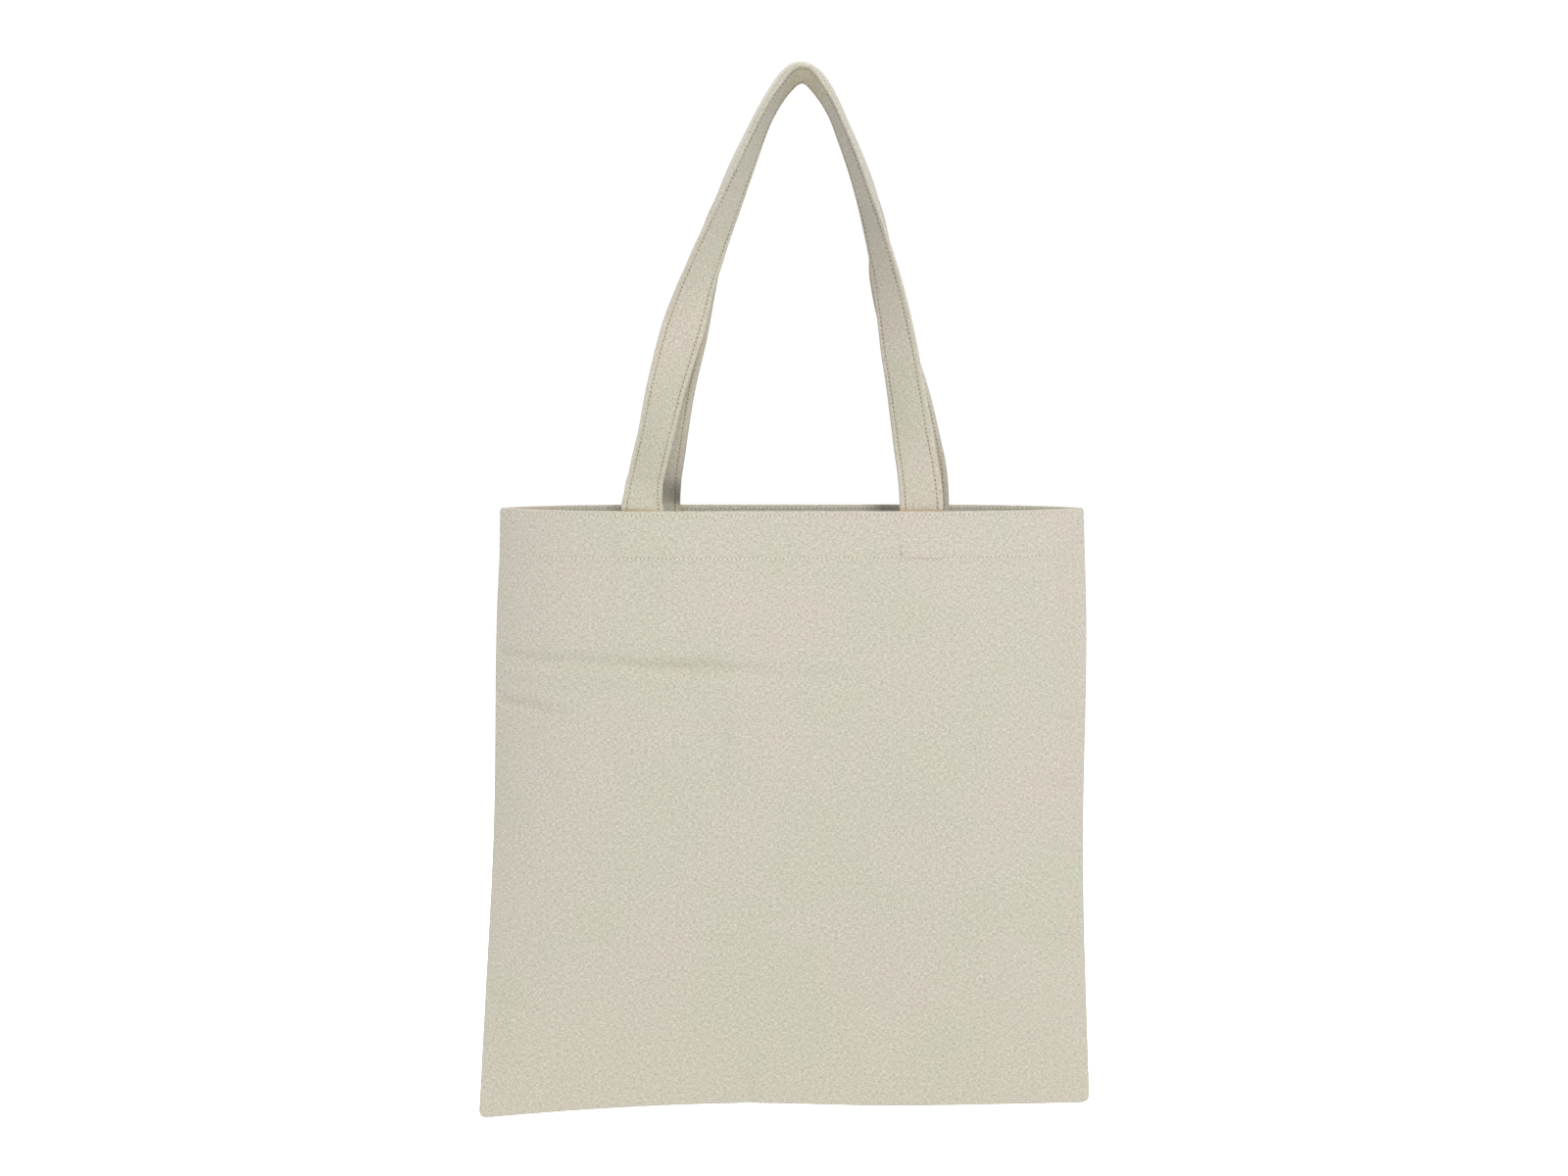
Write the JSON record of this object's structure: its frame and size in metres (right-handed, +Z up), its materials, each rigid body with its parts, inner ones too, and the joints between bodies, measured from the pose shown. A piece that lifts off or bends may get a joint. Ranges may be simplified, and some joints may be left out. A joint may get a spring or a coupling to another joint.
{
  "type": "canvas tote bag",
  "caption": "Flat unlined tote bag of two canvas panels with a turned hem round its open mouth and two long sewn-in webbing handles.",
  "frame": {"origin": "under the top of the front handle, where a hook or a hand carries the bag", "axes": "+Z up, -Y out of the front panel, +X to the right seen from the front"},
  "size_m": [0.377, 0.0603, 0.6444],
  "materials": {
    "canvas": "unbleached plain-weave cotton canvas",
    "strap_canvas": "unbleached plain-weave cotton canvas, folded to a strap",
    "thread": "cotton sewing thread",
    "tack_thread": "cotton sewing thread, back tacks",
    "overlock_thread": "overlock thread on raw edges"
  },
  "bodies": {
    "bag_back": {"back_panel": "canvas", "side_seam_left": "canvas", "side_seam_right": "canvas", "bottom_seam": "canvas", "overlock_left": "overlock_thread", "overlock_right": "overlock_thread", "overlock_bottom": "overlock_thread", "back_rim_stitch": "thread", "back_hem_stitch": "thread", "back_handle_end_left": "strap_canvas", "back_handle_end_right": "strap_canvas", "back_tack_left": "tack_thread", "back_tack_right": "tack_thread"},
    "bag_front": {"front_panel": "canvas", "front_rim_stitch": "thread", "front_hem_stitch": "thread", "front_handle_end_left": "strap_canvas", "front_handle_end_right": "strap_canvas", "front_tack_left": "tack_thread", "front_tack_right": "tack_thread"},
    "front_handle": {"front_handle_strap": "strap_canvas", "front_handle_outer_stitch": "thread", "front_handle_inner_stitch": "thread"},
    "back_handle": {"back_handle_strap": "strap_canvas", "back_handle_outer_stitch": "thread", "back_handle_inner_stitch": "thread"}
  },
  "joints": [
    {"name": "mouth_open", "type": "hinge", "parent": "bag_back", "child": "bag_front", "pos_m": [0, -0.0015, -0.628], "axis": [1, 0, 0], "range_deg": [0, 5], "stiffness_Nm_per_rad": 1, "springref_deg": -2.86},
    {"name": "front_handle_fold", "type": "hinge", "parent": "bag_front", "child": "front_handle", "pos_m": [0, -0.029, -0.2545], "axis": [1, 0, 0], "range_deg": [0, 170]},
    {"name": "back_handle_fold", "type": "hinge", "parent": "bag_back", "child": "back_handle", "pos_m": [0, 0.029, -0.2545], "axis": [-1, 0, 0], "range_deg": [0, 170]}
  ]
}
